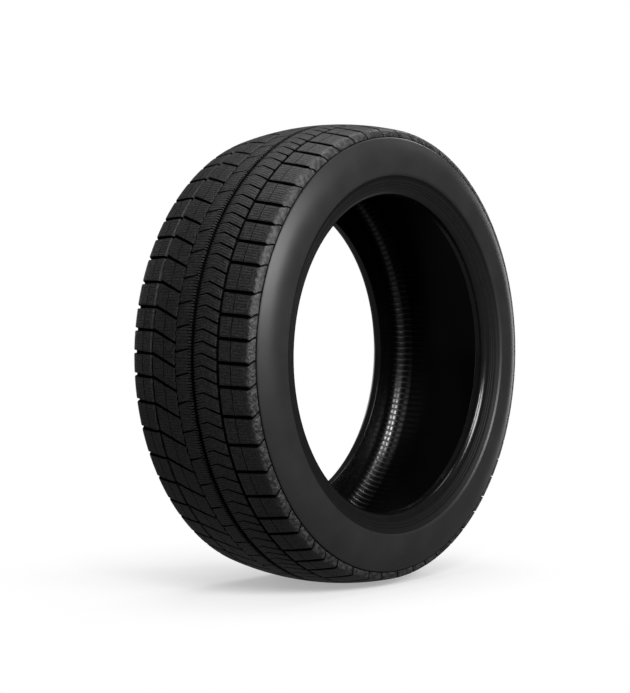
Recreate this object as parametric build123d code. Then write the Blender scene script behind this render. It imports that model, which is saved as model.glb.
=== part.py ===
from build123d import *

import math
import os

# Car tyre, 225/45 R17, off its rim, moulded in one piece.
# Millimetres. The axle runs along Y through the origin, +Z is up, and the tyre stands on its tread.
# The side that faces -Y is the outer side. Angles around the tread run from +X towards +Z.

# Main sizes
rim_diameter = 431.8
section_height = 101.25
section_width = 226.0
tread_width = 195.8
crown_radius = 422.0
standing_flat = 1.3

# Wall thicknesses
tread_depth = 8.0
base_under_tread = 8.5
sidewall_thickness = 8.5
shoulder_gauge = 17.0

# Side of the tyre, heights above the rim seat
tread_edge_chamfer = 4.0
widest_height = 56.0
widest_bend = 12.5
ridge_height = 29.8
ridge_depth = 6.0
ridge_drop = 6.5

# Bead
bead_width = 201.0
bead_base = 15.0
heel_chamfer = 6.0
bead_height = 32.0

# Grooves that run right round: place across the tread and width at the surface
outer_groove_place = -53.6
outer_groove_width = 4.2
centre_groove_place = -13.4
centre_groove_width = 6.5
inner_groove_place = 58.8
inner_groove_width = 3.4
groove_draft = 6.0

# Pattern repeats round the tread: long and short pitches in a mixed order, to spread the noise
pitch_order = "LLSSSLSSSSLLLLLSLSS" + "LLSLLSSLLLSLSSLLSLLLSSLSLLSSLLLSLLSLSS"
long_to_short = 1.25
first_pitch_angle = 126.98

# Cross grooves: width measured round the tread, depth, and slope across the tread in degrees
shoulder_groove_width = 4.4
shoulder_groove_depth = 6.5
shoulder_groove_runout = 5.0
shoulder_groove_slope = 4.0
diagonal_groove_width = 4.0
diagonal_groove_end_width = 2.2
diagonal_groove_depth = 6.5
diagonal_groove_slope = 22.5
diagonal_groove_end = 14.8
inner_phase = 0.58
chevron_groove_width = 2.0
chevron_groove_depth = 5.0
chevron_peak_place = -30.0
chevron_outer_slope = 21.0
chevron_inner_slope = 12.5
chevron_lead = 4.1
chevrons_per_pitch = 2

# Worked out from the sizes above
seat_radius = rim_diameter / 2
outer_radius = seat_radius + section_height
half_tread = tread_width / 2
half_section = section_width / 2
half_bead = bead_width / 2
clear_of_tyre = section_height / 4


def slope(degrees):
    """Rise over run of an angle in degrees."""
    return math.tan(math.radians(degrees))


def crown(y):
    """Radius of the tread surface at a distance y from the centre plane."""
    return outer_radius - crown_radius + math.sqrt(crown_radius**2 - y**2)


def toward(start, end, distance):
    """The point that lies a distance from start on the way to end."""
    direction = Vector(*end) - Vector(*start)
    point = Vector(*start) + direction.normalized() * distance
    return (point.X, point.Y)


tread_edge = (half_tread, crown(half_tread))
widest = (half_section, seat_radius + widest_height)


def both_sides(right):
    """Corners of a symmetric outline from those of its +Y half, from the +Y side round to the -Y side."""
    return [*right, *[(-y, r) for y, r in reversed(right)]]


def revolved(corners):
    """The solid that an outline in (y, radius) sweeps round the axle."""
    return revolve(Plane.YZ * Polygon(*corners, align=None), Axis.Y)


def side_form():
    """Sidewalls, rim ridges and beads as turned from outside, with a plain block where the tread goes."""
    ridge = (half_section, seat_radius + ridge_height)
    flange = (half_section - ridge_depth, ridge[1] - ridge_drop)
    heel = (half_bead, seat_radius)
    right = [
        (half_section, outer_radius + clear_of_tyre),
        ridge,
        flange,
        toward(heel, flange, heel_chamfer),
        toward(heel, (0, seat_radius), heel_chamfer),
    ]
    return revolved(both_sides(right))


def hollow_form():
    """The space between the beads and sidewalls, open to the bore and without its roof."""
    toe = half_bead - bead_base
    inner_wall = half_section - sidewall_thickness
    right = [
        (inner_wall, outer_radius + clear_of_tyre),
        (inner_wall, seat_radius + bead_height),
        (toe, seat_radius),
        (toe, seat_radius - clear_of_tyre),
    ]
    return revolved(both_sides(right))


def ring_groove(place, width):
    """Corners of a groove that runs right round, with drafted walls, from low to high place."""
    draft = slope(groove_draft) * tread_depth
    floor = crown(place) - tread_depth
    return [
        (place - width / 2, crown(place - width / 2)),
        (place - width / 2 + draft, floor),
        (place + width / 2 - draft, floor),
        (place + width / 2, crown(place + width / 2)),
    ]


def tread_outline():
    """Corners from shoulder to shoulder over the tread and its ring grooves, closed well inside the bore."""
    bend = toward(widest, tread_edge, widest_bend)
    bend_foot = (half_section, widest[1] - widest_bend)
    edge = [
        toward(tread_edge, (0, outer_radius), tread_edge_chamfer),
        toward(tread_edge, widest, tread_edge_chamfer),
        bend,
        toward(bend, bend_foot, 2 * section_height),
    ]
    return [
        *[(-y, r) for y, r in reversed(edge)],
        *ring_groove(outer_groove_place, outer_groove_width),
        *ring_groove(centre_groove_place, centre_groove_width),
        *ring_groove(inner_groove_place, inner_groove_width),
        *edge,
    ]


def liner_outline():
    """Corners of the inner surface under the tread, closed well inside the bore."""
    centre = (0, outer_radius - tread_depth - base_under_tread)
    edge = (half_tread - sidewall_thickness, crown(half_tread) - shoulder_gauge)
    below = toward(edge, widest, 2 * section_height)
    return [(-below[0], below[1]), (-edge[0], edge[1]), centre, edge, below]


def pitches():
    """Angle where each pitch starts and how far it reaches, in degrees."""
    shares = [long_to_short if letter == "L" else 1.0 for letter in pitch_order]
    unit = 360.0 / sum(shares)
    angle = first_pitch_angle
    for share in shares:
        yield angle, share * unit
        angle += share * unit


def on_ring(corner, angle):
    """A corner (y, radius) of a section turned to its angle round the axle."""
    y, radius = corner
    turned = math.radians(angle)
    return (radius * math.cos(turned), y, radius * math.sin(turned))


def ring_of_pitches(outline):
    """An outline carried round the axle: each pitch is a straight length, mitred to its neighbours."""
    sides = []
    for start, reach in pitches():
        for corner, following in zip(outline, outline[1:] + outline[:1]):
            quad = [
                on_ring(corner, start),
                on_ring(following, start),
                on_ring(following, start + reach),
                on_ring(corner, start + reach),
            ]
            sides.append(Face(Wire.make_polygon(quad)))
    return Solid(Shell(sides))


def cross_groove(line, floor_line):
    """A groove across a rib, laid out where the tread faces +X.

    line gives the middle of the groove as (place across the tread, offset round the tread, width).
    floor_line gives the floor at its two ends as (place across the tread, depth), lower place first.
    """
    (low, low_depth), (high, high_depth) = floor_line
    start = Vector(crown(low) - low_depth, low, 0)
    rise = Vector(crown(high) - high_depth, high, 0) - start
    plane = Plane(origin=start, x_dir=rise, z_dir=rise.cross(Vector(0, 0, 1)))
    stretch = rise.length / (high - low)
    upper = [((y - low) * stretch, offset + width / 2) for y, offset, width in line]
    lower = [((y - low) * stretch, offset - width / 2) for y, offset, width in line]
    footprint = Polygon(*lower, *reversed(upper), align=None)
    return extrude(plane * footprint, amount=4 * tread_depth)


def shoulder_groove(place, side):
    """The groove from a ring groove out over the tread edge, side -1 for outer and 1 for inner."""
    past_edge = side * half_section
    swing = abs(past_edge - place) * slope(shoulder_groove_slope) / 2
    line = [(place, side * swing, shoulder_groove_width), (past_edge, -side * swing, shoulder_groove_width)]
    floor = [(place, shoulder_groove_depth), (side * half_tread, shoulder_groove_runout)]
    return cross_groove(sorted(line), sorted(floor))


def diagonal_groove():
    """The groove that falls and narrows from the inner ring groove to a blind end near the tread's middle."""
    fall = (inner_groove_place - diagonal_groove_end) * slope(diagonal_groove_slope)
    blind_end = (diagonal_groove_end, fall, diagonal_groove_end_width)
    open_end = (inner_groove_place, 0.0, diagonal_groove_width)
    floor = [(diagonal_groove_end, diagonal_groove_depth), (inner_groove_place, diagonal_groove_depth)]
    return cross_groove([blind_end, open_end], floor)


def chevron_groove():
    """The narrow arrow-shaped groove between the outer and the centre groove."""
    peak = -chevron_lead - (chevron_peak_place - outer_groove_place) * slope(chevron_outer_slope)
    end = peak + (centre_groove_place - chevron_peak_place) * slope(chevron_inner_slope)
    line = [(outer_groove_place, -chevron_lead), (chevron_peak_place, peak), (centre_groove_place, end)]
    floor = [(outer_groove_place, chevron_groove_depth), (centre_groove_place, chevron_groove_depth)]
    return cross_groove([(place, offset, chevron_groove_width) for place, offset in line], floor)


def pattern():
    """All cross grooves of the tread, pitch by pitch."""
    one_pitch = [
        (shoulder_groove(outer_groove_place, -1), 0.0),
        (shoulder_groove(inner_groove_place, 1), inner_phase),
        (diagonal_groove(), inner_phase),
    ]
    one_pitch += [(chevron_groove(), n / chevrons_per_pitch) for n in range(chevrons_per_pitch)]
    return [
        Rot(0, -(start + phase * reach), 0) * groove
        for start, reach in pitches()
        for groove, phase in one_pitch
    ]


def tyre():
    """The whole tyre as one solid, with the small flat that it stands on."""
    ground = Pos(0, 0, standing_flat - outer_radius) * Box(
        2 * outer_radius, section_width, 2 * standing_flat, align=(Align.CENTER, Align.CENTER, Align.MAX)
    )
    tread = ring_of_pitches(tread_outline()) - [*pattern(), ground]
    hollow = hollow_form() & ring_of_pitches(liner_outline())
    return ((side_form() & tread) - hollow).solid()


os.makedirs("parts", exist_ok=True)
export_step(tyre(), "parts/tyre.step")
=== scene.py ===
import logging
import math
from dataclasses import dataclass
from enum import Enum, IntEnum

import bpy
import numpy as np
from mathutils import Matrix, Vector


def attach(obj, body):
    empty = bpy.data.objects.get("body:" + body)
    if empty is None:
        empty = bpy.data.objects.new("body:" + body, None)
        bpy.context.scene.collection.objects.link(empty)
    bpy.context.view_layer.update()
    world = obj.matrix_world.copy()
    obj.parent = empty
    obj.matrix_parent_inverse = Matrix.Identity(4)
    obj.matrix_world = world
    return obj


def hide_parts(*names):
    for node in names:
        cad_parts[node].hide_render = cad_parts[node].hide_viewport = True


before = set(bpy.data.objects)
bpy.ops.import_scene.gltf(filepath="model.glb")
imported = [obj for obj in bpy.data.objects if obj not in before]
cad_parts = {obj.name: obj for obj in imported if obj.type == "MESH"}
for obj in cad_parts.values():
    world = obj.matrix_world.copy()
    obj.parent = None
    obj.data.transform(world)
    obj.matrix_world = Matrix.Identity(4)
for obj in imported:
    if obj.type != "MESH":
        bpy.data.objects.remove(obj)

log = logging.getLogger("tyre")
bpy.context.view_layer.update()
MM = 0.001
TURN = 2 * math.pi
Point = tuple[float, float]
Corner = tuple[float, float, float]
Array = np.ndarray

# Edges of a mesh that turn by more degrees than this stay crisp
CRISP_EDGE = 35
# Faces that lie deeper in a cut than this, in millimetres, get the black groove finish, which is painted
# shade
PAINTED_SHADE_FROM = 0.5
# Rows that close up along a groove's edge stay this far apart, in millimetres
ROW_STEP = 0.004
# Columns closer than this, in millimetres, count as one place
SAME_PLACE = 0.1
# How strongly rubber bends light
RUBBER_IOR = 1.5


def linear(hex_colour: str) -> tuple[float, float, float, float]:
    """Turn an sRGB hex colour into linear red, green, blue and alpha.

    Args:
        hex_colour: Colour as "#rrggbb".

    Returns:
        The linear colour with alpha 1.
    """
    parts = [int(hex_colour[i : i + 2], 16) / 255 for i in (1, 3, 5)]
    red, green, blue = [p / 12.92 if p <= 0.04045 else ((p + 0.055) / 1.055) ** 2.4 for p in parts]
    return red, green, blue, 1.0


def slope(degrees: float) -> float:
    """Rise over run of an angle in degrees."""
    return math.tan(math.radians(degrees))


def along(points: tuple[Point, ...], y: Array) -> Array:
    """Values at places y, on straight runs between points given as (place, value)."""
    places, values = zip(*points)
    return np.interp(y, places, values)


def nearness(y: Array, edge: float | None, reach: float) -> Array:
    """1 at an edge, falling evenly to 0 at the distance reach, or 0 all over where there is no edge."""
    if edge is None:
        return np.zeros(len(y))
    return np.clip(1 - np.abs(y - edge) / reach, 0, 1)


def quadratic(start: Array, control: Array, end: Array, steps: int) -> Array:
    """Points on a quadratic curve from start to end, with the control point where its end tangents meet."""
    t = np.linspace(0, 1, steps)[:, None]
    return (1 - t) ** 2 * start + 2 * t * (1 - t) * control + t**2 * end


class Finish(IntEnum):
    """The finishes that the mould and the curing bladder leave on the rubber, with painted shade in the
    grooves and a lit and a shaded copy of the liner.
    """

    TREAD = 0
    SHADED_GROOVE = 1
    SHOULDER = 2
    SIDEWALL = 3
    MATT = 4
    BEAD = 5
    # Lit and shaded copies of the liner rubber
    LIT_LINING = 6
    SHADED_LINING_MIDDLE = 7


class Side(Enum):
    """Which way along the axle a shoulder faces."""

    OUTER = -1
    INNER = 1


@dataclass(frozen=True)
class TyreForm:
    """Main sizes of the tyre in millimetres, as its solid has them."""

    seat_radius: float = 215.9
    outer_radius: float = 317.15
    half_section: float = 113.0
    half_tread: float = 97.9
    crown_radius: float = 422.0
    widest_radius: float = 271.9
    tread_depth: float = 8.0
    groove_draft: float = 6.0
    standing_flat: float = 1.3

    def crown(self, y: Array | float) -> Array | float:
        """Radius of the tread surface at distances y from the middle plane: a circle across the tread."""
        return self.outer_radius - self.crown_radius + np.sqrt(self.crown_radius**2 - np.square(y))

    def place(self, angle: Array, y: Array, radius: Array) -> Array:
        """Turn section points round the axle and press the lowest ones onto the ground.

        A point goes to (radius cos angle, y, radius sin angle), and no lower than the standing flat.

        Args:
            angle: Angles round the axle in radians, from +X towards +Z.
            y: Places along the axle in millimetres.
            radius: Distances from the axle in millimetres.

        Returns:
            Points in metres, with x, y and z on the last axis.
        """
        angle, y, radius = np.broadcast_arrays(angle, y, radius)
        height = np.maximum(radius * np.sin(angle), self.standing_flat - self.outer_radius)
        return np.stack([radius * np.cos(angle), y, height], axis=-1) * MM


FORM = TyreForm()


@dataclass(frozen=True)
class PitchOrder:
    """Long and short repeats of the pattern round the tread, in the order that the tyre has them."""

    letters: str = "LLSSSLSSSSLLLLLSLSS" + "LLSLLSSLLLSLSSLLSLLLSSLSLLSSLLLSLLSLSS"
    long_to_short: float = 1.25
    first_angle: float = 126.98

    def places(self, phases: tuple[float, ...]) -> Array:
        """Where a feature lies in every pitch, in millimetres round the tread's outside, in rising order.

        Args:
            phases: Places of the feature in its pitch, from 0 to 1.

        Returns:
            One place for each phase of each pitch.
        """
        shares = np.where(np.array(list(self.letters)) == "L", self.long_to_short, 1.0)
        lengths = shares / shares.sum() * TURN * FORM.outer_radius
        starts = np.cumsum(lengths) - lengths + math.radians(self.first_angle) * FORM.outer_radius
        return np.sort((starts[:, None] + lengths[:, None] * np.array(phases)).ravel())


PITCHES = PitchOrder()


@dataclass(frozen=True)
class TreadPattern:
    """Where the ring grooves lie and how the cross grooves run, in millimetres and degrees.

    Each line is the middle of a cross groove, as points of (place along the axle, offset round the tread).
    """

    outer_groove: float = -53.6
    centre_groove: float = -13.4
    zigzag_line: float = 14.8
    inner_groove: float = 58.8
    inner_phase: float = 0.58
    shoulder_slope: float = 4.0
    shoulder_end: float = 102.1
    notch_start: float = 98.3
    notch_slant: float = 7.0
    diagonal_slope: float = 22.5
    chevron_peak: float = -30.0
    chevron_lead: float = 4.1
    chevron_slopes: Point = (21.0, 12.5)

    def swing(self, ring_groove: float) -> float:
        """How far off its place a shoulder groove lies at its ends, the ring groove and the widest place."""
        return (FORM.half_section - abs(ring_groove)) * slope(self.shoulder_slope) / 2

    def outer_line(self) -> tuple[Point, ...]:
        """Line of the outer shoulder grooves, which end in slanted notches in the shoulder face."""
        swing = self.swing(self.outer_groove)
        end = (-self.shoulder_end, swing / 2 - self.notch_slant)
        return end, (-self.notch_start, swing / 2), (self.outer_groove, -swing)

    def chevron_line(self) -> tuple[Point, ...]:
        """Line of the arrow-shaped grooves between the outer and the centre groove."""
        outer_slope, inner_slope = self.chevron_slopes
        peak = -self.chevron_lead - (self.chevron_peak - self.outer_groove) * slope(outer_slope)
        end = peak + (self.centre_groove - self.chevron_peak) * slope(inner_slope)
        return (self.outer_groove, -self.chevron_lead), (self.chevron_peak, peak), (self.centre_groove, end)

    def diagonal_line(self) -> tuple[Point, ...]:
        """Line of the diagonal grooves, from the zigzag line to the inner groove."""
        fall = (self.inner_groove - self.zigzag_line) * slope(self.diagonal_slope)
        return (self.zigzag_line, fall), (self.inner_groove, 0.0)

    def inner_line(self) -> tuple[Point, ...]:
        """Line of the inner shoulder grooves, straight out over the tread edge."""
        swing = self.swing(self.inner_groove)
        return (self.inner_groove, swing), (FORM.half_section, -swing)


PATTERN = TreadPattern()


@dataclass
class Ring:
    """A closed ring of rubber: a grid that runs round the axle and round its own section."""

    name: str

    def grid(self) -> tuple[Array, Array, Array]:
        """Work out the surface.

        Returns:
            Points in metres with shape (rows, columns, 3), the uncut section as (y, radius) in millimetres
            with shape (columns, 2), and how deep each point lies in a groove, in millimetres.
        """
        raise NotImplementedError

    def finishes(self, section: Array) -> Array:
        """Finish of the faces after each column."""
        raise NotImplementedError

    def build(self) -> bpy.types.Object:
        """Make the mesh: each grid cell is one face, and both directions join end to start.

        The UV map holds turns round the axle and metres round the section.

        Returns:
            The new object, linked to the scene.
        """
        points, section, _ = self.grid()
        rows, columns = points.shape[:2]
        row, column = np.arange(rows)[:, None], np.arange(columns)[None, :]
        next_row, next_column = (row + 1) % rows, (column + 1) % columns
        corners = [row * columns + column, row * columns + next_column]
        corners += [next_row * columns + next_column, next_row * columns + column]
        faces = np.stack(corners, axis=-1).reshape(-1, 4)
        mesh = bpy.data.meshes.new(self.name)
        mesh.vertices.add(rows * columns)
        mesh.vertices.foreach_set("co", points.astype(np.float32).ravel())
        mesh.loops.add(faces.size)
        mesh.loops.foreach_set("vertex_index", faces.astype(np.int32).ravel())
        mesh.polygons.add(len(faces))
        mesh.polygons.foreach_set("loop_start", np.arange(0, faces.size, 4, dtype=np.int32))
        mesh.polygons.foreach_set("use_smooth", np.ones(len(faces), dtype=bool))
        turns = np.arange(rows + 1) / rows
        steps = np.hypot(*(np.roll(section, -1, axis=0) - section).T)
        across = np.concatenate([[0.0], np.cumsum(steps)]) * MM
        u = np.stack([turns[:-1], turns[:-1], turns[1:], turns[1:]], axis=-1)[:, None]
        v = np.stack([across[:-1], across[1:], across[1:], across[:-1]], axis=-1)[None]
        uv = mesh.uv_layers.new(name="turns_and_metres")
        uv.data.foreach_set("uv", np.stack(np.broadcast_arrays(u, v), axis=-1).astype(np.float32).ravel())
        mesh.update(calc_edges=True)
        mesh.validate()
        mesh.set_sharp_from_angle(angle=math.radians(CRISP_EDGE))
        piece = bpy.data.objects.new(self.name, mesh)
        bpy.context.scene.collection.objects.link(piece)
        return piece

    def dress(self, piece: bpy.types.Object, rubbers: dict[Finish, bpy.types.Material]) -> None:
        """Give the ring's faces their finishes: deep groove walls and floors first, in black as painted
        shade, then by column.

        Args:
            piece: The ring's object, as built.
            rubbers: Material of each finish.
        """
        points, section, depth = self.grid()
        depth = np.broadcast_to(depth, points.shape[:2])
        below = depth + np.roll(depth, -1, axis=0)
        below = (below + np.roll(below, -1, axis=1)) / 4
        # Faces deep in a cut take the black groove finish: painted shade
        finish = np.where(below > PAINTED_SHADE_FROM, Finish.SHADED_GROOVE, self.finishes(section))
        used, slots = np.unique(finish, return_inverse=True)
        for kind in used:
            piece.data.materials.append(rubbers[Finish(kind)])
        piece.data.polygons.foreach_set("material_index", slots.ravel().astype(np.int32))


@dataclass(frozen=True)
class Cut:
    """A cross groove or a fine slit in the tread, in millimetres."""

    width: float
    depth: float
    edge: float

    @property
    def reach(self) -> float:
        """Half the width with the rounded edge."""
        return self.width / 2 + self.edge

    def profile(self) -> Array:
        """Rows of the cut along the tread: offset, share of the depth, and drop of the rounded edge."""
        half = self.width / 2
        floor = half - min(half / 2, self.depth * slope(FORM.groove_draft) / 2)
        offset = np.array([-self.reach, -half, -floor, floor, half, self.reach])
        share = np.array([0.0, 0.0, 1.0, 1.0, 0.0, 0.0])
        edge = np.array([0.0, self.edge / 2, 0.0, 0.0, self.edge / 2, 0.0])
        return np.stack([offset, share, edge], axis=1)


@dataclass
class TreadRib(Ring):
    """One rib of the tread: a ring of blocks between two ring grooves, with cross grooves and slits.

    The surface is a grid. Rows run across the rib at every edge of a groove or slit, so the walls stand
    at their true places, and columns run round the tyre. Down to the ledge, the rib's own walls are as
    dusty as its top.

    Sizes are in millimetres. The widths scale the cross grooves from place to place. At the ticked edge the
    slits widen to ticks of (length, width). The zigzag is (teeth round the tyre, swing), and a bevel is
    (width, drop). Thin lines run round at the lengthwise places, with half widths for (floor, top).
    """

    near_edge: float
    far_edge: float
    line: tuple[Point, ...]
    phases: tuple[float, ...]
    groove: Cut
    widths: tuple[Point, ...] = ((0.0, 1.0),)
    slit: Cut = Cut(width=0.4, depth=3.0, edge=0.1)
    slit_line: tuple[Point, ...] | None = None
    slit_spacing: float = 3.75
    slit_zones: tuple[Point, ...] = ()
    slit_end: float = 0.4
    lengthwise: tuple[float, ...] = ()
    lengthwise_reach: Point = (0.3, 0.6)
    lengthwise_depth: float = 2.0
    ticked_edge: float | None = None
    tick: Point = (4.5, 2.0)
    zigzag_edge: float | None = None
    zigzag: Point = (228, 0.8)
    zigzag_reach: float = 4.0
    near_bevel: Point = (0.6, 0.3)
    far_bevel: Point = (0.6, 0.3)
    ledge: float = 1.2
    ledge_lap: float = 0.95
    foot: float = 9.0
    plain_columns: int = 4

    def feature_columns(self) -> list[float]:
        """Columns that the kinks, slit ends, thin lines and ticks of the rib need."""
        kinks = [place for place, _ in (*self.line, *self.widths)]
        end = self.slit_end
        ends = [place for low, high in self.slit_zones for place in (low, low + end, high - end, high)]
        floor, top = self.lengthwise_reach
        lines = [place + step for place in self.lengthwise for step in (-top, -floor, floor, top)]
        edges = [] if self.ticked_edge is None else [self.ticked_edge]
        ticks = [edge + step for edge in edges for step in (-self.tick[0], self.tick[0])]
        return [*kinks, *ends, *lines, *ticks]

    def section(self) -> tuple[Array, Array, Array]:
        """Columns across the rib, from the near wall's ledge over the top and back under it.

        Returns:
            Place along the axle, radius of the uncut surface, and how far it lies below the rib's top edge.
        """
        low, high = self.near_edge + self.near_bevel[0], self.far_edge - self.far_bevel[0]
        features = [place for place in self.feature_columns() if low < place < high]
        plain = np.linspace(low, high, self.plain_columns)
        top = np.unique([self.near_edge, *plain, *features, self.far_edge])
        radius = FORM.crown(top)
        radius[0] -= self.near_bevel[1]
        radius[-1] -= self.far_bevel[1]
        near, far = (self.near_edge, radius[0]), (self.far_edge, radius[-1])
        walls = [self.wall_point(*near, -1, self.ledge), self.wall_point(*far, 1, self.ledge)]
        feet = [self.wall_point(*far, 1, self.foot), self.wall_point(*near, -1, self.foot)]
        section = np.concatenate([walls[:1], np.stack([top, radius], axis=1), walls[1:], feet])
        sunk = np.array([self.ledge, *np.zeros(len(top)), self.ledge, self.foot, self.foot])
        return section[:, 0], section[:, 1], sunk

    def wall_point(self, y: float, radius: float, outward: int, depth: float) -> Point:
        """Point on the drafted wall below the edge (y, radius), with outward -1 or 1 along the axle."""
        return y + outward * depth * slope(FORM.groove_draft), radius - depth

    def finishes(self, section: Array) -> Array:
        """Finish of the faces after each column: tread rubber all over."""
        return np.full(len(section), Finish.TREAD)

    def groove_depth(self, y: Array) -> Array:
        """Depth of the cross grooves below the surface at each column."""
        return np.full(len(y), self.groove.depth)

    def tilt(self, y: Array) -> Array:
        """Angle in radians by which the cuts at each column lean away from straight down: none."""
        return np.zeros(len(y))

    def slit_depth(self, y: Array) -> Array:
        """Depth of the slits at each column: full inside their zones, none at the zones' ends."""
        if not self.slit_zones:
            return np.full(len(y), self.slit.depth)
        inset = self.slit_end / 2
        inside = [(y > low + inset) & (y < high - inset) for low, high in self.slit_zones]
        return np.any(inside, axis=0) * self.slit.depth

    def line_depth(self, y: Array) -> Array:
        """Depth of the thin lines that run round the tread at each column."""
        half = sum(self.lengthwise_reach) / 2
        near = [np.abs(y - place) < half for place in self.lengthwise]
        return (np.any(near, axis=0) if near else np.zeros(len(y))) * self.lengthwise_depth

    def grid(self) -> tuple[Array, Array, Array]:
        """Work out the rib's surface.

        A point lies at the uncut radius less the deepest of its cuts. Cross grooves follow the rib's line.
        Slits follow their own line, evenly spaced between two grooves, and where they would run into a
        groove they close up along its edge.

        Returns:
            Points, uncut section and groove depths, as for every ring.
        """
        y, radius, sunk = self.section()
        cuttable = sunk < self.foot
        groove_shift = along(self.line, y)
        slit_shift = along(self.slit_line, y) if self.slit_line else groove_shift
        lean = groove_shift - slit_shift

        # Middles of the grooves and slits, gap by gap round the tread
        grooves = PITCHES.places(self.phases)
        gaps = np.diff(np.append(grooves, grooves[0] + TURN * FORM.outer_radius))
        spread = np.ptp(lean)
        steps = np.round((gaps + spread) / self.slit_spacing).astype(int)
        gap = np.repeat(np.arange(len(gaps)), steps)
        number = np.arange(steps.sum()) - np.repeat(np.cumsum(steps) - steps, steps)
        is_slit = number > 0
        slit_place = grooves[gap] + lean.min() + number * ((gaps + spread) / steps)[gap]
        middle = np.where(is_slit, slit_place, grooves[gap])

        # Rows of each cut's profile
        profiles = np.stack([self.groove.profile(), self.slit.profile()])[is_slit.astype(int)]
        per_cut = profiles.shape[1]
        offset, share, edge = (profiles[:, :, i].reshape(-1, 1) for i in range(3))
        middle, gap, is_slit = (np.repeat(values, per_cut)[:, None] for values in (middle, gap, is_slit))
        rank = (np.arange(len(gap)) - np.searchsorted(gap[:, 0], gap[:, 0]))[:, None] * ROW_STEP

        # Place of each point round the tread
        low = grooves[gap] + lean + self.groove.reach + rank
        rank_left = steps[gap] * per_cut * ROW_STEP - rank
        high = grooves[gap] + gaps[gap] + lean - self.groove.reach - rank_left
        tick_length, tick_width = self.tick
        flare = 1 + nearness(y, self.ticked_edge, tick_length) * (tick_width / self.slit.width - 1)
        slit_around = np.clip(middle + offset * flare, low, high) + slit_shift
        groove_around = middle + offset * along(self.widths, y) + groove_shift
        angle = np.where(is_slit, slit_around, groove_around) / FORM.outer_radius

        # Depth of each point
        clear = self.slit.reach * flare
        fits = (middle - clear > low) & (middle + clear < high)
        depth = np.where(is_slit, self.slit_depth(y) * fits, self.groove_depth(y)) * cuttable
        cut = np.maximum(share * depth, self.line_depth(y) * cuttable)
        drop = np.maximum(cut - self.ledge_lap * sunk, edge * (depth > 0) * (sunk == 0))

        # Drafted walls and the zigzag edge
        last = int(cuttable.sum()) - 1
        outward = np.zeros(len(y))
        outward[[0, 1, last - 1, last]] = [-1.0, -1.0, 1.0, 1.0]
        tilt = self.tilt(y)
        place = y + (outward * slope(FORM.groove_draft) - np.sin(tilt)) * drop
        teeth, swing = self.zigzag
        place += swing * nearness(y, self.zigzag_edge, self.zigzag_reach) * np.sign(np.sin(teeth * angle))
        points = FORM.place(angle, place, radius - np.cos(tilt) * drop)
        return points, np.stack([y, radius], axis=1), np.where(cuttable, cut, self.foot)


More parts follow.
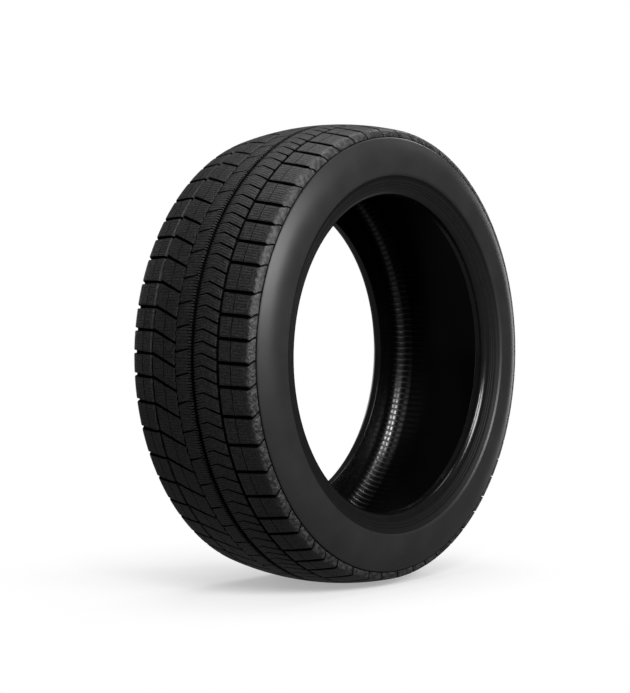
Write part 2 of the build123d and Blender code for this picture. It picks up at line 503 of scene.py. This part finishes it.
@dataclass
class ShoulderRib(TreadRib):
    """The outermost rib on one side, which bends over the tread edge and ends at the shoulder line.

    Its last columns on the shoulder face drop towards the line, each by its share of the end drop.
    """

    side: Side = Side.OUTER
    runout: float = 5.0
    notch: float = 3.0
    notch_end: float = 0.3
    edge_bend: float = 3.2
    bend_columns: int = 6
    face_columns: int = 5
    end_drop: float = 0.9
    end_shares: tuple[float, ...] = (0.2, 0.55, 1.0)
    foot_step: Point = (4.0, 2.0)

    @property
    def groove_side(self) -> float:
        """Distance from the middle plane to the edge at the ring groove."""
        return self.near_edge if self.side is Side.INNER else -self.far_edge

    @property
    def end_place(self) -> float:
        """Distance from the middle plane to the shoulder line."""
        return self.far_edge if self.side is Side.INNER else -self.near_edge

    def face(self) -> Array:
        """Direction of the shoulder face, from the tread edge down, as a unit step in (y, radius)."""
        edge = np.array([FORM.half_tread, FORM.crown(FORM.half_tread)])
        down = np.array([FORM.half_section, FORM.widest_radius]) - edge
        return down / np.hypot(*down)

    def bend(self) -> Point:
        """Places along the axle where the rounded tread edge starts and ends."""
        return FORM.half_tread - self.edge_bend, FORM.half_tread + self.edge_bend * self.face()[0]

    def section(self) -> tuple[Array, Array, Array]:
        """Columns from the ring groove over the rounded tread edge to the shoulder line and back inside.

        The rounded edge is a quadratic curve with its middle control point at the sharp tread edge.

        Returns:
            Place along the axle, radius of the uncut surface, and how far it lies below the rib's top edge.
        """
        inner = self.side is Side.INNER
        bevel = self.near_bevel if inner else self.far_bevel
        corner = np.array([FORM.half_tread, FORM.crown(FORM.half_tread)])
        down = self.face()
        inward = np.array([-1.0, FORM.half_tread / FORM.crown_radius])
        start, end = corner + inward * self.edge_bend, corner + down * self.edge_bend
        bend = quadratic(start, corner, end, self.bend_columns)
        top_start = self.groove_side + bevel[0]
        features = [abs(place) for place in self.feature_columns()]
        features = [place for place in features if top_start < place < start[0]]
        top = np.unique([*np.linspace(top_start, start[0], self.plain_columns, endpoint=False), *features])
        share = np.linspace(0, 1, self.face_columns + 1)[1:, None]
        face = end + share * (self.end_place - end[0]) / down[0] * down
        drops = np.array(self.end_shares)[:, None] * self.end_drop
        face[-len(drops) :] -= drops * np.array([-down[1], down[0]])
        edge = (self.groove_side, FORM.crown(self.groove_side) - bevel[1])
        wall = [self.wall_point(*edge, -1, self.ledge), edge]
        feet = [face[-1] - np.array(self.foot_step), self.wall_point(*edge, -1, self.foot - bevel[1])]
        section = np.concatenate([wall, np.stack([top, FORM.crown(top)], axis=1), bend, face, feet])
        sunk = np.zeros(len(section))
        sunk[[0, -2, -1]] = [self.ledge, self.foot, self.foot]
        if inner:
            return section[:, 0], section[:, 1], sunk
        order = np.concatenate([np.arange(len(section) - 3, -1, -1), [len(section) - 1, len(section) - 2]])
        return -section[order, 0], section[order, 1], sunk[order]

    def finishes(self, section: Array) -> Array:
        """Finish of the faces after each column: mottled rubber from the rounded tread edge on."""
        on_shoulder = np.abs(section[:, 0]) > self.bend()[0] - SAME_PLACE
        return np.where(on_shoulder, Finish.SHOULDER, Finish.TREAD)

    def groove_depth(self, y: Array) -> Array:
        """Depth of the cross grooves: to the runout at the tread edge, then to the notch in the shoulder."""
        bend_start, bend_end = self.bend()
        floor = (
            (self.groove_side, self.groove.depth),
            (bend_start, self.runout),
            (bend_end, self.notch),
            (self.end_place - self.notch_end, self.notch),
            (self.end_place, 0.0),
        )
        return along(floor, np.abs(y))

    def tilt(self, y: Array) -> Array:
        """Lean of the cuts: straight down on the tread, turning to square to the face on the shoulder."""
        bend_start, bend_end = self.bend()
        across, down = self.face()
        turned = np.clip((np.abs(y) - bend_start) / (bend_end - bend_start), 0, 1)
        return self.side.value * turned * math.atan2(-down, across)


def softened(corners: list[Corner], steps: int) -> Array:
    """Round the corners of a line, each by a quadratic curve with the corner as its control point.

    Args:
        corners: Corner points as (y, radius, length of the curve's legs). The first and last stay sharp.
        steps: Points on each rounded corner.

    Returns:
        Points of the rounded line, shape (count, 2).
    """
    points = np.array([corner[:2] for corner in corners])
    legs = np.array([corner[2] for corner in corners[1:-1]])[:, None]
    back = points[:-2] - points[1:-1]
    ahead = points[2:] - points[1:-1]
    start = points[1:-1] + back / np.linalg.norm(back, axis=1, keepdims=True) * legs
    end = points[1:-1] + ahead / np.linalg.norm(ahead, axis=1, keepdims=True) * legs
    curves = quadratic(start[:, None], points[1:-1, None], end[:, None], steps)
    return np.concatenate([points[:1], curves.reshape(-1, 2), points[-1:]])


@dataclass
class Carcass(Ring):
    """Sidewalls, ridges, beads, liner and the floor of the ring grooves, as one turned ring.

    Corners of the section are (y, radius, length of the legs of the rounding), in millimetres. The base is
    the floor of the ring grooves, with a step aside and down at its ends. A flange rib is (width, height),
    and the flange ribs lie at distances from the flange's top.
    """

    name: str = "carcass"
    turns: int = 360
    base_ends: Point = (-56.2, 60.4)
    base_columns: int = 13
    base_step: Point = (2.5, 3.2)
    crevice: tuple[Corner, ...] = ((99.5, 296.0, 0.5), (101.2, 295.4, 0.5), (102.3, 294.4, 0.5))
    wall_top: Corner = (103.4, 293.3, 1.2)
    widest: Corner = (FORM.half_section, FORM.widest_radius, 14.0)
    ridge: Corner = (FORM.half_section, 245.7, 1.8)
    ridge_foot: Corner = (110.6, 243.1, 0.0)
    flange_top: Corner = (107.0, 239.2, 1.0)
    flange_ribs: tuple[float, ...] = (4.4, 8.4, 12.4)
    flange_rib: Point = (1.8, 0.7)
    heel_line: Corner = (103.45, 226.52, 0.0)
    heel: Corner = (100.5, FORM.seat_radius, 8.5)
    toe: Corner = (85.5, FORM.seat_radius, 1.4)
    bead_end: Corner = (103.3, 245.88, 0.0)
    bead_top: Corner = (104.5, 247.9, 2.0)
    liner_corner: Corner = (104.5, 286.6, 25.0)
    liner_middle: Corner = (0.0, 300.65, 0.0)

    def flange(self) -> list[Corner]:
        """Corners of the fine ribs that seal the flange face against the rim, from the ridge inwards."""
        start, end = np.array(self.flange_top[:2]), np.array(self.heel[:2])
        down = (end - start) / np.linalg.norm(end - start)
        outward = np.array([-down[1], down[0]])
        half, height = self.flange_rib[0] / 2, self.flange_rib[1]
        corners = []
        for rib in self.flange_ribs:
            for step, rise in ((-half, 0.0), (0.0, height), (half, 0.0)):
                corners.append((*(start + down * (rib + step) + outward * rise), half / 3))
        return corners

    def half(self) -> list[tuple[Array, Finish]]:
        """Section on the +Y side from the shoulder line round the bead to the middle of the liner.

        Returns:
            Runs of points as (y, radius), each with its finish.
        """
        wall = [self.crevice[-1], self.wall_top, self.widest, self.ridge, self.ridge_foot]
        flange = [self.ridge_foot, self.flange_top, *self.flange(), self.heel_line]
        bead = [self.heel_line, self.heel, self.toe, self.bead_end]
        liner = softened([self.bead_end, self.bead_top, self.liner_corner, self.liner_middle], steps=19)
        runs = [
            # The crevice at the shoulder line is black: painted shade
            (softened(list(self.crevice), steps=7), Finish.SHADED_GROOVE),
            (softened(wall, steps=7), Finish.SIDEWALL),
            (softened(flange, steps=3), Finish.MATT),
            (softened(bead, steps=13), Finish.BEAD),
            # The liner as a lit copy with its reflection turned up, and a shaded copy across the middle with
            # its reflection turned down
            (liner[:-1], Finish.LIT_LINING),
            (liner[-2:], Finish.SHADED_LINING_MIDDLE),
        ]
        return [(points[:-1], finish) for points, finish in runs]

    def grid(self) -> tuple[Array, Array, Array]:
        """Turn the closed section round the axle.

        Returns:
            Points, section and groove depths, as for every ring.
        """
        half = np.concatenate([points for points, _ in self.half()])
        middle = np.array([self.liner_middle[:2]])
        base_y = np.linspace(*self.base_ends, self.base_columns)
        base = np.stack([base_y, FORM.crown(base_y) - FORM.tread_depth], axis=1)
        aside, down = self.base_step
        under = base[[0, -1]] + np.array([[-aside, -down], [aside, -down]])
        near = half[::-1] * np.array([-1.0, 1.0])
        section = np.concatenate([near, under[:1], base, under[1:], half, middle])
        angle = np.arange(self.turns)[:, None] / self.turns * TURN
        return FORM.place(angle, section[:, 0], section[:, 1]), section, np.zeros(len(section))

    def finishes(self, section: Array) -> Array:
        """Finish of the faces after each column, the same on both sides."""
        half = np.concatenate([np.full(len(points), finish) for points, finish in self.half()])
        # The floor of the ring grooves is black: painted shade
        between = np.full(len(section) - 2 * len(half), Finish.SHADED_GROOVE)
        between[-1] = Finish.SHADED_LINING_MIDDLE
        return np.concatenate([np.roll(half[::-1], -1), between[:-1], half, between[-1:]])


def add_node(
    tree: bpy.types.NodeTree, kind: str, settings: dict | None = None, **inputs: object
) -> bpy.types.Node:
    """Add a node, set its options and fill or link its sockets.

    Args:
        tree: Node tree of a material or the world.
        kind: Blender's name of the node type.
        settings: Options of the node by name.
        inputs: Socket values by name, with _ for a space, or by number after _. A socket is linked.

    Returns:
        The new node.
    """
    node = tree.nodes.new(kind)
    for key, value in (settings or {}).items():
        setattr(node, key, value)
    for key, value in inputs.items():
        socket = node.inputs[int(key[1:])] if key[1:].isdigit() else node.inputs[key.replace("_", " ")]
        if isinstance(value, bpy.types.NodeSocket):
            tree.links.new(value, socket)
        else:
            socket.default_value = value
    return node


def empty_material(name: str) -> bpy.types.Material:
    """Make a material whose node tree is empty."""
    material = bpy.data.materials.new(name)
    material.use_nodes = True
    material.node_tree.nodes.clear()
    return material


@dataclass(frozen=True)
class MouldedRubber:
    """Carbon-black rubber as it comes out of a steel mould.

    The skin is pale with dust and bloom in patches, over a grain that is drawn coarser than the real one,
    so that it shows from a step away.
    """

    name: str
    colour: str
    pale: str
    patch_mm: float
    roughness: float
    grain_mm: float
    grain_height_mm: float
    specular: float = 0.5
    patch_range: Point = (0.35, 0.7)

    def material(self) -> bpy.types.Material:
        """Make the material."""
        material = empty_material(self.name)
        tree = material.node_tree
        place = add_node(tree, "ShaderNodeTexCoord").outputs["Object"]
        patches = 1 / (self.patch_mm * MM)
        patch = add_node(tree, "ShaderNodeTexNoise", Vector=place, Scale=patches, Detail=4.0).outputs["Fac"]
        low, high = self.patch_range
        share = add_node(tree, "ShaderNodeMapRange", Value=patch, From_Min=low, From_Max=high)
        skin = add_node(
            tree,
            "ShaderNodeMix",
            {"data_type": "RGBA"},
            _0=share.outputs[0],
            _6=linear(self.colour),
            _7=linear(self.pale),
        )
        grains = 1 / (self.grain_mm * MM)
        grain = add_node(tree, "ShaderNodeTexNoise", Vector=place, Scale=grains, Detail=3.0)
        bump = add_node(
            tree, "ShaderNodeBump", Height=grain.outputs["Fac"], Distance=self.grain_height_mm * MM
        )
        shader = add_node(
            tree,
            "ShaderNodeBsdfPrincipled",
            Base_Color=skin.outputs[2],
            Roughness=self.roughness,
            IOR=RUBBER_IOR,
            Specular_IOR_Level=self.specular,
            Normal=bump.outputs["Normal"],
        )
        add_node(tree, "ShaderNodeOutputMaterial", Surface=shader.outputs["BSDF"])
        return material


@dataclass(frozen=True)
class BladderRubber:
    """Liner rubber, pressed smooth by the curing bladder, with the print of the bladder's vent grooves.

    It is glossy black, so a lamp shows as a bright streak along the corner, cut into dashes by the print.
    The print is a wave round the tyre with only its crests kept. It fades out on the wall and in the middle.
    """

    name: str
    specular: float
    colour: str = "#060607"
    roughness: float = 0.22
    groove_roughness: float = 0.45
    grooves_round: int = 204
    groove_depth_mm: float = 0.4
    crest: Point = (0.3, 0.9)
    fade_mm: Point = (50.0, 85.0)
    wall_fade_mm: Point = (104.4, 99.0)

    def material(self) -> bpy.types.Material:
        """Make the material."""
        material = empty_material(self.name)
        tree = material.node_tree
        place = add_node(tree, "ShaderNodeTexCoord").outputs
        turns = add_node(tree, "ShaderNodeSeparateXYZ", Vector=place["UV"]).outputs["X"]
        waves = TURN * self.grooves_round
        phase = add_node(tree, "ShaderNodeMath", {"operation": "MULTIPLY"}, _0=turns, _1=waves)
        wave = add_node(tree, "ShaderNodeMath", {"operation": "SINE"}, _0=phase.outputs[0])
        line = add_node(
            tree,
            "ShaderNodeMapRange",
            {"interpolation_type": "SMOOTHSTEP"},
            Value=wave.outputs[0],
            From_Min=self.crest[0],
            From_Max=self.crest[1],
        )
        across = add_node(tree, "ShaderNodeSeparateXYZ", Vector=place["Object"]).outputs["Y"]
        away = add_node(tree, "ShaderNodeMath", {"operation": "ABSOLUTE"}, _0=across)
        fade = add_node(
            tree,
            "ShaderNodeMapRange",
            Value=away.outputs[0],
            From_Min=self.fade_mm[0] * MM,
            From_Max=self.fade_mm[1] * MM,
        )
        wall = add_node(
            tree,
            "ShaderNodeMapRange",
            Value=away.outputs[0],
            From_Min=self.wall_fade_mm[0] * MM,
            From_Max=self.wall_fade_mm[1] * MM,
        )
        reach = add_node(
            tree, "ShaderNodeMath", {"operation": "MINIMUM"}, _0=fade.outputs[0], _1=wall.outputs[0]
        )
        groove = add_node(
            tree, "ShaderNodeMath", {"operation": "MULTIPLY"}, _0=line.outputs[0], _1=reach.outputs[0]
        )
        gloss = add_node(
            tree,
            "ShaderNodeMapRange",
            Value=groove.outputs[0],
            To_Min=self.roughness,
            To_Max=self.groove_roughness,
        )
        bump = add_node(
            tree,
            "ShaderNodeBump",
            {"invert": True},
            Height=groove.outputs[0],
            Distance=self.groove_depth_mm * MM,
        )
        shader = add_node(
            tree,
            "ShaderNodeBsdfPrincipled",
            Base_Color=linear(self.colour),
            Roughness=gloss.outputs[0],
            IOR=RUBBER_IOR,
            Specular_IOR_Level=self.specular,
            Normal=bump.outputs["Normal"],
        )
        add_node(tree, "ShaderNodeOutputMaterial", Surface=shader.outputs["BSDF"])
        return material


def rubbers() -> dict[Finish, bpy.types.Material]:
    """Material of each finish: all are black, and differ in dust, grain and gloss."""
    skins = {
        # Grainy rubber with a dusting of bloom: dark grey on top, mottled and dull
        Finish.TREAD: MouldedRubber(
            "moulded_tread_rubber",
            colour="#0e0e0f",
            pale="#363637",
            patch_mm=3.0,
            roughness=0.52,
            grain_mm=2.2,
            grain_height_mm=1.0,
        ),
        # Painted shade of the deep cuts, black and barely glossy, partly also fresh rubber that is cleaner
        # than the dusty tread: plain black lines
        Finish.SHADED_GROOVE: MouldedRubber(
            "groove_painted_shade_rubber",
            colour="#050505",
            pale="#090909",
            patch_mm=6.0,
            roughness=0.7,
            grain_mm=1.6,
            grain_height_mm=0.1,
            specular=0.1,
        ),
        # Etched shoulder, worn pale on its lumps: light speckles along the tread edge
        Finish.SHOULDER: MouldedRubber(
            "mottled_shoulder_rubber",
            colour="#1a1a1b",
            pale="#4b4b4d",
            patch_mm=5.5,
            roughness=0.46,
            grain_mm=2.8,
            grain_height_mm=1.5,
            patch_range=(0.42, 0.7),
        ),
        # Polished mould wall: an even satin grey with one broad soft highlight
        Finish.SIDEWALL: MouldedRubber(
            "satin_wall_rubber",
            colour="#232324",
            pale="#2a2a2b",
            patch_mm=40.0,
            roughness=0.42,
            grain_mm=1.2,
            grain_height_mm=0.02,
        ),
        # Turned mould ring: a dull, darker band beside the satin wall
        Finish.MATT: MouldedRubber(
            "matt_black_rubber",
            colour="#0a0a0b",
            pale="#0f0f10",
            patch_mm=12.0,
            roughness=0.6,
            grain_mm=1.0,
            grain_height_mm=0.05,
            specular=0.25,
        ),
        # Bead that has to seal: smooth and glossy, with thin bright lines on its rounded edges
        Finish.BEAD: MouldedRubber(
            "smooth_bead_rubber",
            colour="#0d0d0e",
            pale="#111112",
            patch_mm=20.0,
            roughness=0.2,
            grain_mm=1.5,
            grain_height_mm=0.01,
        ),
    }
    materials = {kind: skin.material() for kind, skin in skins.items()}
    # Bladder-pressed liner as a lit and a shaded copy of one rubber: the corner's reflection is turned up
    # for a bright streak of dashes, and the middle's is turned down to painted shade with hardly a glint
    materials[Finish.LIT_LINING] = BladderRubber("liner_corner_lit_copy_rubber", specular=0.75).material()
    materials[Finish.SHADED_LINING_MIDDLE] = BladderRubber("liner_middle_shaded_copy_rubber", specular=0.15).material()
    return materials


def direction(azimuth: float, elevation: float) -> Vector:
    """Unit step towards an azimuth and elevation in degrees. Azimuth 0 is towards -Y, and 90 towards +X."""
    a, e = math.radians(azimuth), math.radians(elevation)
    return Vector((math.sin(a) * math.cos(e), -math.cos(a) * math.cos(e), math.sin(e)))


def aimed(eye: Vector, target: Vector) -> Matrix:
    """Placement of a lamp or camera that stands at eye and looks at target."""
    return Matrix.Translation(eye) @ (target - eye).to_track_quat("-Z", "Y").to_matrix().to_4x4()


@dataclass(frozen=True)
class Lamp:
    """A soft box that faces the tyre: angles in degrees, width and height in metres, power in watts."""

    name: str
    azimuth: float
    elevation: float
    size: Point
    power: float
    reach: float = 2.4

    def build(self) -> bpy.types.Object:
        """Hang the lamp so that it faces the tyre's centre."""
        data = bpy.data.lights.new(self.name, "AREA")
        data.shape = "RECTANGLE"
        data.size, data.size_y = self.size
        data.energy = self.power
        lamp = bpy.data.objects.new(self.name, data)
        lamp.visible_camera = False
        eye = direction(self.azimuth, self.elevation) * self.reach
        lamp.matrix_world = aimed(eye, Vector((0.0, 0.0, 0.0)))
        bpy.context.scene.collection.objects.link(lamp)
        return lamp


@dataclass
class Studio:
    """White floor and backdrop, soft lamps and the camera.

    The camera's distance is in millimetres, and the sizes on the floor are in metres.
    """

    azimuth: float = -52.108
    elevation: float = 1.373
    distance: float = 2676.8
    lens: float = 99.77
    sensor_width: float = 36.0
    focal_px: float = 1920.5
    off_centre_px: Point = (22.37, 7.01)
    floor_height: float = (FORM.standing_flat - FORM.outer_radius) * MM
    floor_half: float = 12.0
    shadow_reach: float = 0.55
    shadow_white: float = 0.35
    glow_place: Point = (1.6, 0.4)
    glow_reach: Point = (0.4, 1.1)
    glow_strength: Point = (0.7, 0.15)
    fill_strength: float = 0.08
    lamps: tuple[Lamp, ...] = (
        Lamp("front_lamp", -6, 23, (0.9, 0.9), 41),
        Lamp("strip_lamp", -40, 34, (0.22, 1.1), 30),
        Lamp("top_lamp", 130, 78, (1.6, 1.6), 28),
        Lamp("side_lamp", 100, 5, (0.6, 1.2), 5),
        Lamp("back_lamp", 172, 8, (0.9, 0.9), 7),
        Lamp("rim_lamp", 92, 38, (0.5, 0.5), 6),
    )

    def camera(self) -> bpy.types.Object:
        """Set up the camera at the photograph's viewing angle."""
        back = direction(self.azimuth, self.elevation)
        right = direction(self.azimuth + 90, 0.0)
        up = back.cross(right)
        scale = self.distance / self.focal_px
        eye = back * self.distance * MM
        target = (up * self.off_centre_px[1] - right * self.off_centre_px[0]) * scale * MM
        data = bpy.data.cameras.new("camera")
        data.lens = self.lens
        data.sensor_width = self.sensor_width
        camera = bpy.data.objects.new("camera", data)
        camera.matrix_world = aimed(eye, target)
        bpy.context.scene.collection.objects.link(camera)
        bpy.context.scene.camera = camera
        return camera

    def floor(self) -> bpy.types.Object:
        """Lay the floor: shadowed near the tyre, white further out, and glowing on the tyre from the right.

        Returns:
            The floor's object.
        """
        half, z = self.floor_half, self.floor_height
        mesh = bpy.data.meshes.new("floor")
        corners = [(-half, -half, z), (half, -half, z), (half, half, z), (-half, half, z)]
        mesh.from_pydata(corners, [], [(0, 1, 2, 3)])
        floor = bpy.data.objects.new("floor", mesh)
        bpy.context.scene.collection.objects.link(floor)
        material = empty_material("white_floor")
        tree = material.node_tree
        place = add_node(tree, "ShaderNodeTexCoord").outputs["Object"]
        flat = add_node(
            tree, "ShaderNodeVectorMath", {"operation": "MULTIPLY"}, _0=place, _1=(1.0, 1.0, 0.0)
        )
        away = add_node(tree, "ShaderNodeVectorMath", {"operation": "LENGTH"}, _0=flat.outputs[0])
        fade = add_node(
            tree,
            "ShaderNodeMapRange",
            {"interpolation_type": "SMOOTHSTEP"},
            Value=away.outputs["Value"],
            From_Max=self.shadow_reach,
            To_Min=self.shadow_white,
        )
        camera_ray = add_node(tree, "ShaderNodeLightPath").outputs["Is Camera Ray"]
        lit = add_node(tree, "ShaderNodeBsdfDiffuse", Color=linear("#fafafa"))
        glow = add_node(tree, "ShaderNodeEmission", Color=linear("#ffffff"), Strength=1.0)
        seen = add_node(
            tree, "ShaderNodeMixShader", _0=fade.outputs[0], _1=lit.outputs[0], _2=glow.outputs[0]
        )
        glow_middle = (*self.glow_place, z)
        patch = add_node(
            tree, "ShaderNodeVectorMath", {"operation": "DISTANCE"}, _0=place, _1=glow_middle
        )
        glint = add_node(
            tree,
            "ShaderNodeMapRange",
            Value=patch.outputs["Value"],
            From_Min=self.glow_reach[0],
            From_Max=self.glow_reach[1],
            To_Min=self.glow_strength[0],
            To_Max=self.glow_strength[1],
        )
        bounce = add_node(tree, "ShaderNodeEmission", Color=linear("#ffffff"), Strength=glint.outputs[0])
        mix = add_node(
            tree, "ShaderNodeMixShader", _0=camera_ray, _1=bounce.outputs[0], _2=seen.outputs[0]
        )
        add_node(tree, "ShaderNodeOutputMaterial", Surface=mix.outputs[0])
        mesh.materials.append(material)
        return floor

    def world(self) -> bpy.types.World:
        """Surround the scene with white for the camera and a dim fill for the tyre.

        Nothing on a tyre is metal or glass, so only the camera sees the white.

        Returns:
            The new world.
        """
        world = bpy.data.worlds.new("studio")
        world.use_nodes = True
        tree = world.node_tree
        tree.nodes.clear()
        camera_ray = add_node(tree, "ShaderNodeLightPath").outputs["Is Camera Ray"]
        fill = add_node(tree, "ShaderNodeBackground", Color=linear("#ffffff"), Strength=self.fill_strength)
        seen = add_node(tree, "ShaderNodeBackground", Color=linear("#ffffff"), Strength=1.0)
        mix = add_node(tree, "ShaderNodeMixShader", _0=camera_ray, _1=fill.outputs[0], _2=seen.outputs[0])
        add_node(tree, "ShaderNodeOutputWorld", Surface=mix.outputs[0])
        bpy.context.scene.world = world
        return world

    def build(self) -> None:
        """Put up the whole studio."""
        self.camera()
        self.floor()
        self.world()
        for lamp in self.lamps:
            lamp.build()
        bpy.context.scene.view_settings.view_transform = "Standard"


def ribs() -> list[TreadRib]:
    """The five ribs of the tread, from the outer side to the inner side."""
    wide = Cut(width=4.4, depth=6.5, edge=0.5)
    return [
        ShoulderRib(
            name="outer_shoulder_rib",
            near_edge=-PATTERN.shoulder_end,
            far_edge=-55.9,
            line=PATTERN.outer_line(),
            phases=(0.0,),
            groove=wide,
            widths=((-98.0, 0.55), (-94.5, 1.35), (-55.7, 1.05)),
            slit_zones=((-90.5, -74.5), (-71.5, -58.5)),
            lengthwise=(-73.0,),
            side=Side.OUTER,
            runout=4.0,
            notch=2.7,
        ),
        TreadRib(
            name="chevron_rib",
            near_edge=-51.1,
            far_edge=-16.8,
            line=PATTERN.chevron_line(),
            phases=(0.0, 0.5),
            groove=Cut(width=2.0, depth=5.0, edge=0.3),
            widths=(
                (PATTERN.outer_groove, 1.7),
                (PATTERN.chevron_peak, 1.2),
                (-28.0, 0.9),
                (PATTERN.centre_groove, 0.7),
            ),
            ticked_edge=-16.8,
        ),
        TreadRib(
            name="centre_rib",
            near_edge=-10.0,
            far_edge=13.9,
            line=((PATTERN.centre_groove, -5.2), (-6.5, -6.9), (PATTERN.zigzag_line, -2.1)),
            phases=(0.62,),
            groove=Cut(width=2.4, depth=5.0, edge=0.3),
            widths=((PATTERN.centre_groove, 0.7), (PATTERN.zigzag_line, 1.2)),
            slit_line=((0.0, 0.0),),
            ticked_edge=-10.0,
            zigzag_edge=13.9,
            ledge=2.2,
        ),
        TreadRib(
            name="diagonal_rib",
            near_edge=15.7,
            far_edge=56.4,
            line=PATTERN.diagonal_line(),
            phases=(PATTERN.inner_phase,),
            groove=Cut(width=4.0, depth=6.5, edge=0.4),
            widths=((PATTERN.zigzag_line, 0.9), (PATTERN.inner_groove, 1.3)),
            slit_line=((0.0, 0.0),),
            slit_spacing=4.1,
            slit_zones=((18.0, 34.5), (37.5, 55.0)),
            lengthwise=(36.0,),
            zigzag_edge=15.7,
            ledge=0.3,
        ),
        ShoulderRib(
            name="inner_shoulder_rib",
            near_edge=61.0,
            far_edge=PATTERN.shoulder_end,
            line=PATTERN.inner_line(),
            phases=(PATTERN.inner_phase,),
            groove=wide,
            widths=((60.5, 0.85), (97.5, 1.3), (101.5, 0.75)),
            slit_zones=((64.5, 76.5), (79.5, 90.5)),
            lengthwise=(78.0,),
            near_bevel=(1.5, 2.4),
            side=Side.INNER,
        ),
    ]


def main() -> None:
    """Build the tyre's pieces in order, then the studio."""
    logging.basicConfig(level=logging.INFO)
    finishes = rubbers()
    for ring in (Carcass(), *ribs()):
        piece = ring.build()
        ring.dress(piece, finishes)
        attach(piece, "root")
        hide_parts("tyre")
        log.info("%s: %d faces", piece.name, len(piece.data.polygons))
    Studio().build()


if __name__ == "__main__":
    main()
